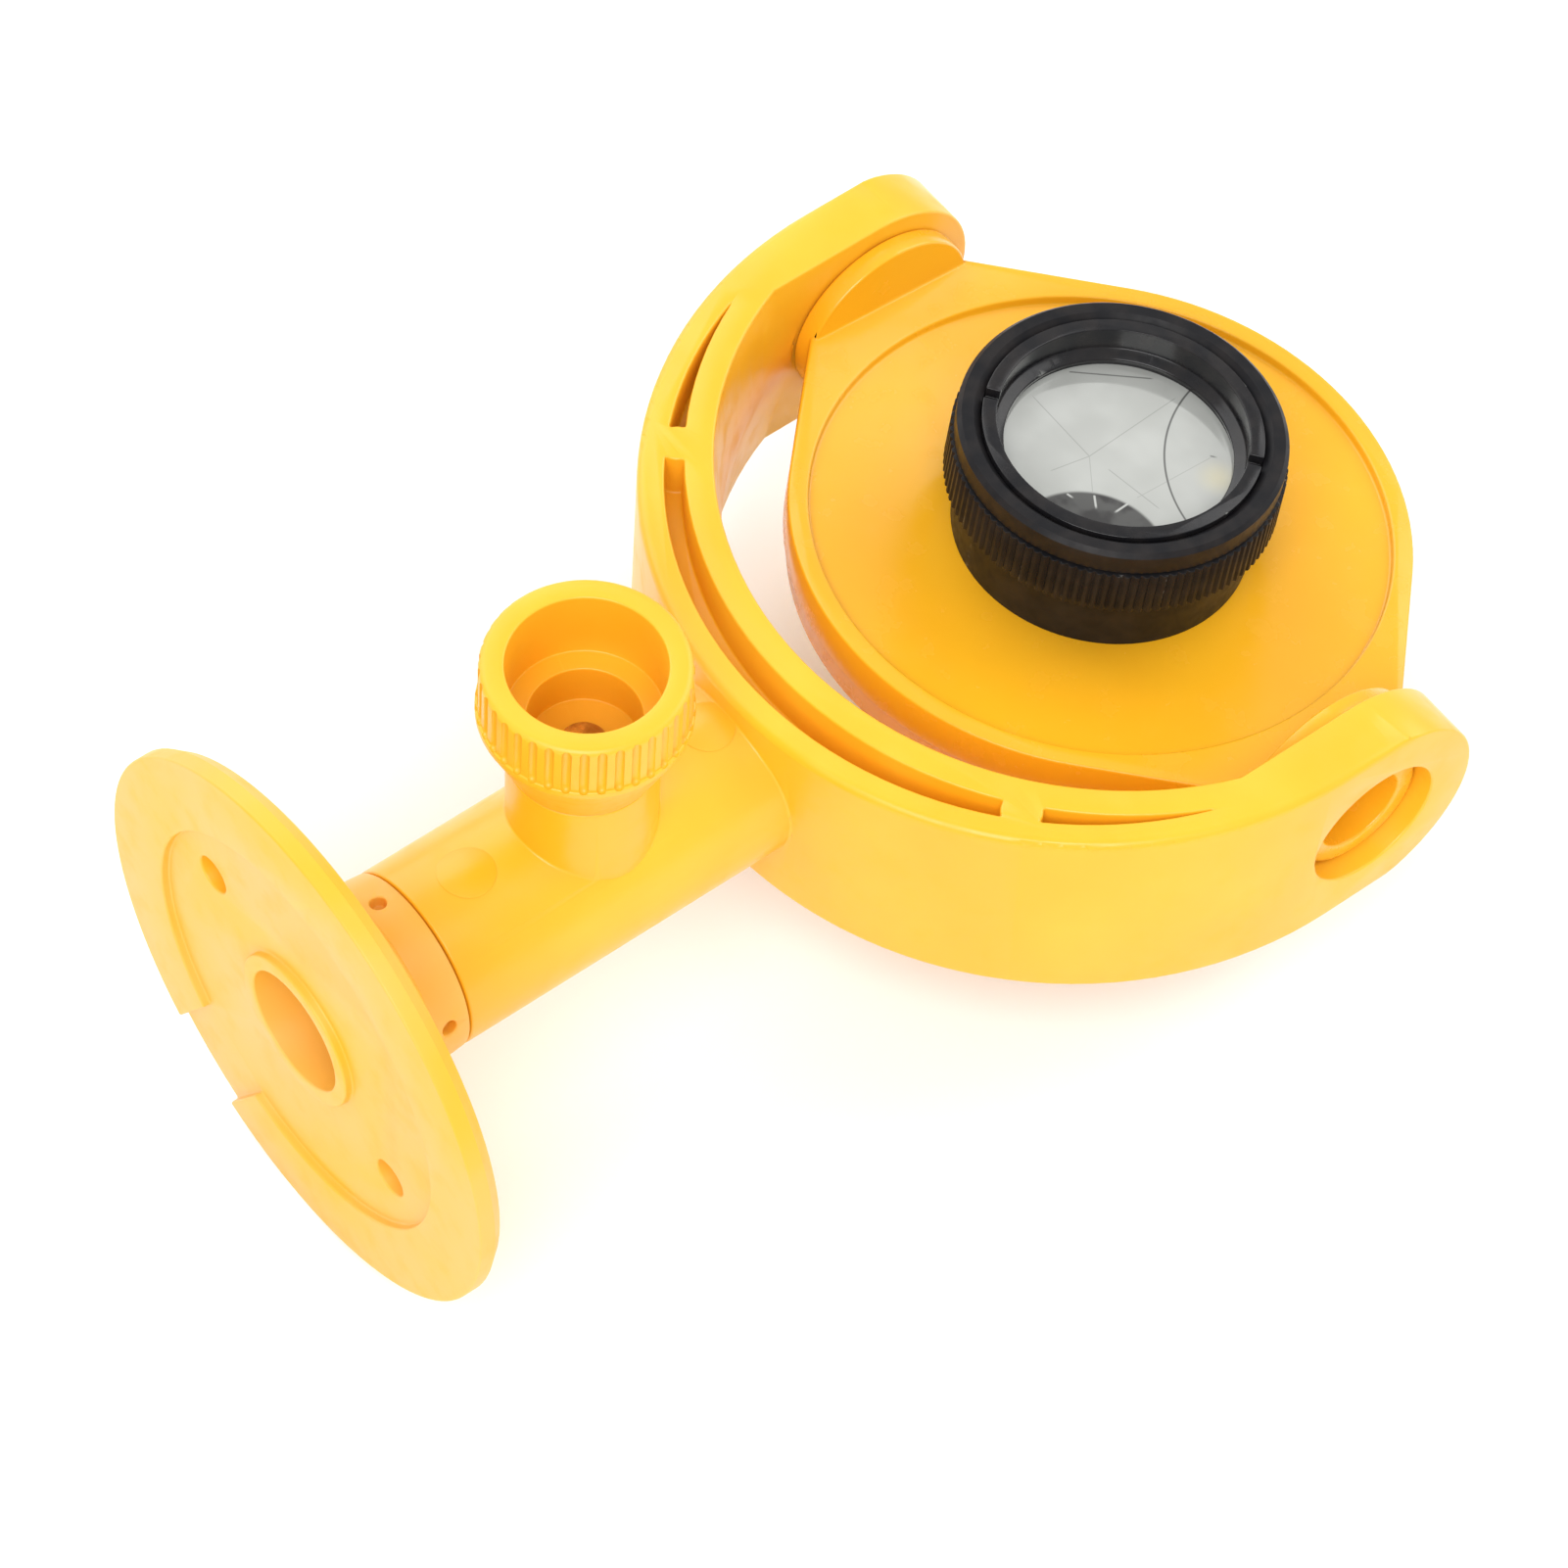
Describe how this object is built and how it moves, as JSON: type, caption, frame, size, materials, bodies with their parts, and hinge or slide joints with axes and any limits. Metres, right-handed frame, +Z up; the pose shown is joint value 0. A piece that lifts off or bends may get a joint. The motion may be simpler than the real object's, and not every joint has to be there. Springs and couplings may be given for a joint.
{
  "type": "survey prism",
  "caption": "Wall-mounted survey target: corner-cube prism in a round tilting plate, held by a swivelling yoke with a clamp knob.",
  "frame": {"origin": "centre of the wall flange's mounting face", "axes": "+Y along the stem away from the wall, +X along the tilt pivot, +Z up on the side that the prism faces"},
  "size_m": [0.0946, 0.1443, 0.0685],
  "materials": {
    "flange_plastic": "satin, fine moulded grain",
    "yoke_plastic": "semi-gloss moulded",
    "knob_plastic": "semi-gloss moulded",
    "shoe_brass": "turned",
    "plate_plastic": "gloss moulded",
    "housing_black": "black anodised, knurled",
    "nut_black": "black anodised",
    "prism_glass": "polished, silvered facets",
    "nest_rubber": "soft moulded",
    "gasket_rubber": "soft",
    "ring_black": "black anodised, turned"
  },
  "bodies": {
    "base": {"wall_flange": "flange_plastic"},
    "fork": {"yoke": "yoke_plastic"},
    "shoe": {"clamp_shoe": "shoe_brass"},
    "knob": {"clamp_knob": "knob_plastic"},
    "target": {"tilt_plate": "plate_plastic", "prism_housing": "housing_black", "rear_nut": "nut_black", "corner_cube": "prism_glass", "prism_nest": "nest_rubber", "front_gasket": "gasket_rubber", "retaining_ring": "ring_black"}
  },
  "joints": [
    {"name": "stem_swivel", "type": "hinge", "parent": "base", "child": "fork", "pos_m": [0, 0.0376, 0], "axis": [0, 1, 0], "continuous": true},
    {"name": "plate_tilt", "type": "hinge", "parent": "fork", "child": "target", "pos_m": [0, 0.10925, 0], "axis": [1, 0, 0], "continuous": true},
    {"name": "clamp_lift", "type": "slide", "parent": "fork", "child": "shoe", "axis": [0, 0, 1], "range_m": [0, 0.00226]},
    {"name": "knob_turn", "type": "hinge", "parent": "shoe", "child": "knob", "pos_m": [0, 0.0376, 0.02], "axis": [0, 0, 1], "range_deg": [0, 540]}
  ],
  "couplings": [
    {"joint": "clamp_lift", "follows": "knob_turn", "m_per_rad": 0.00023873}
  ]
}
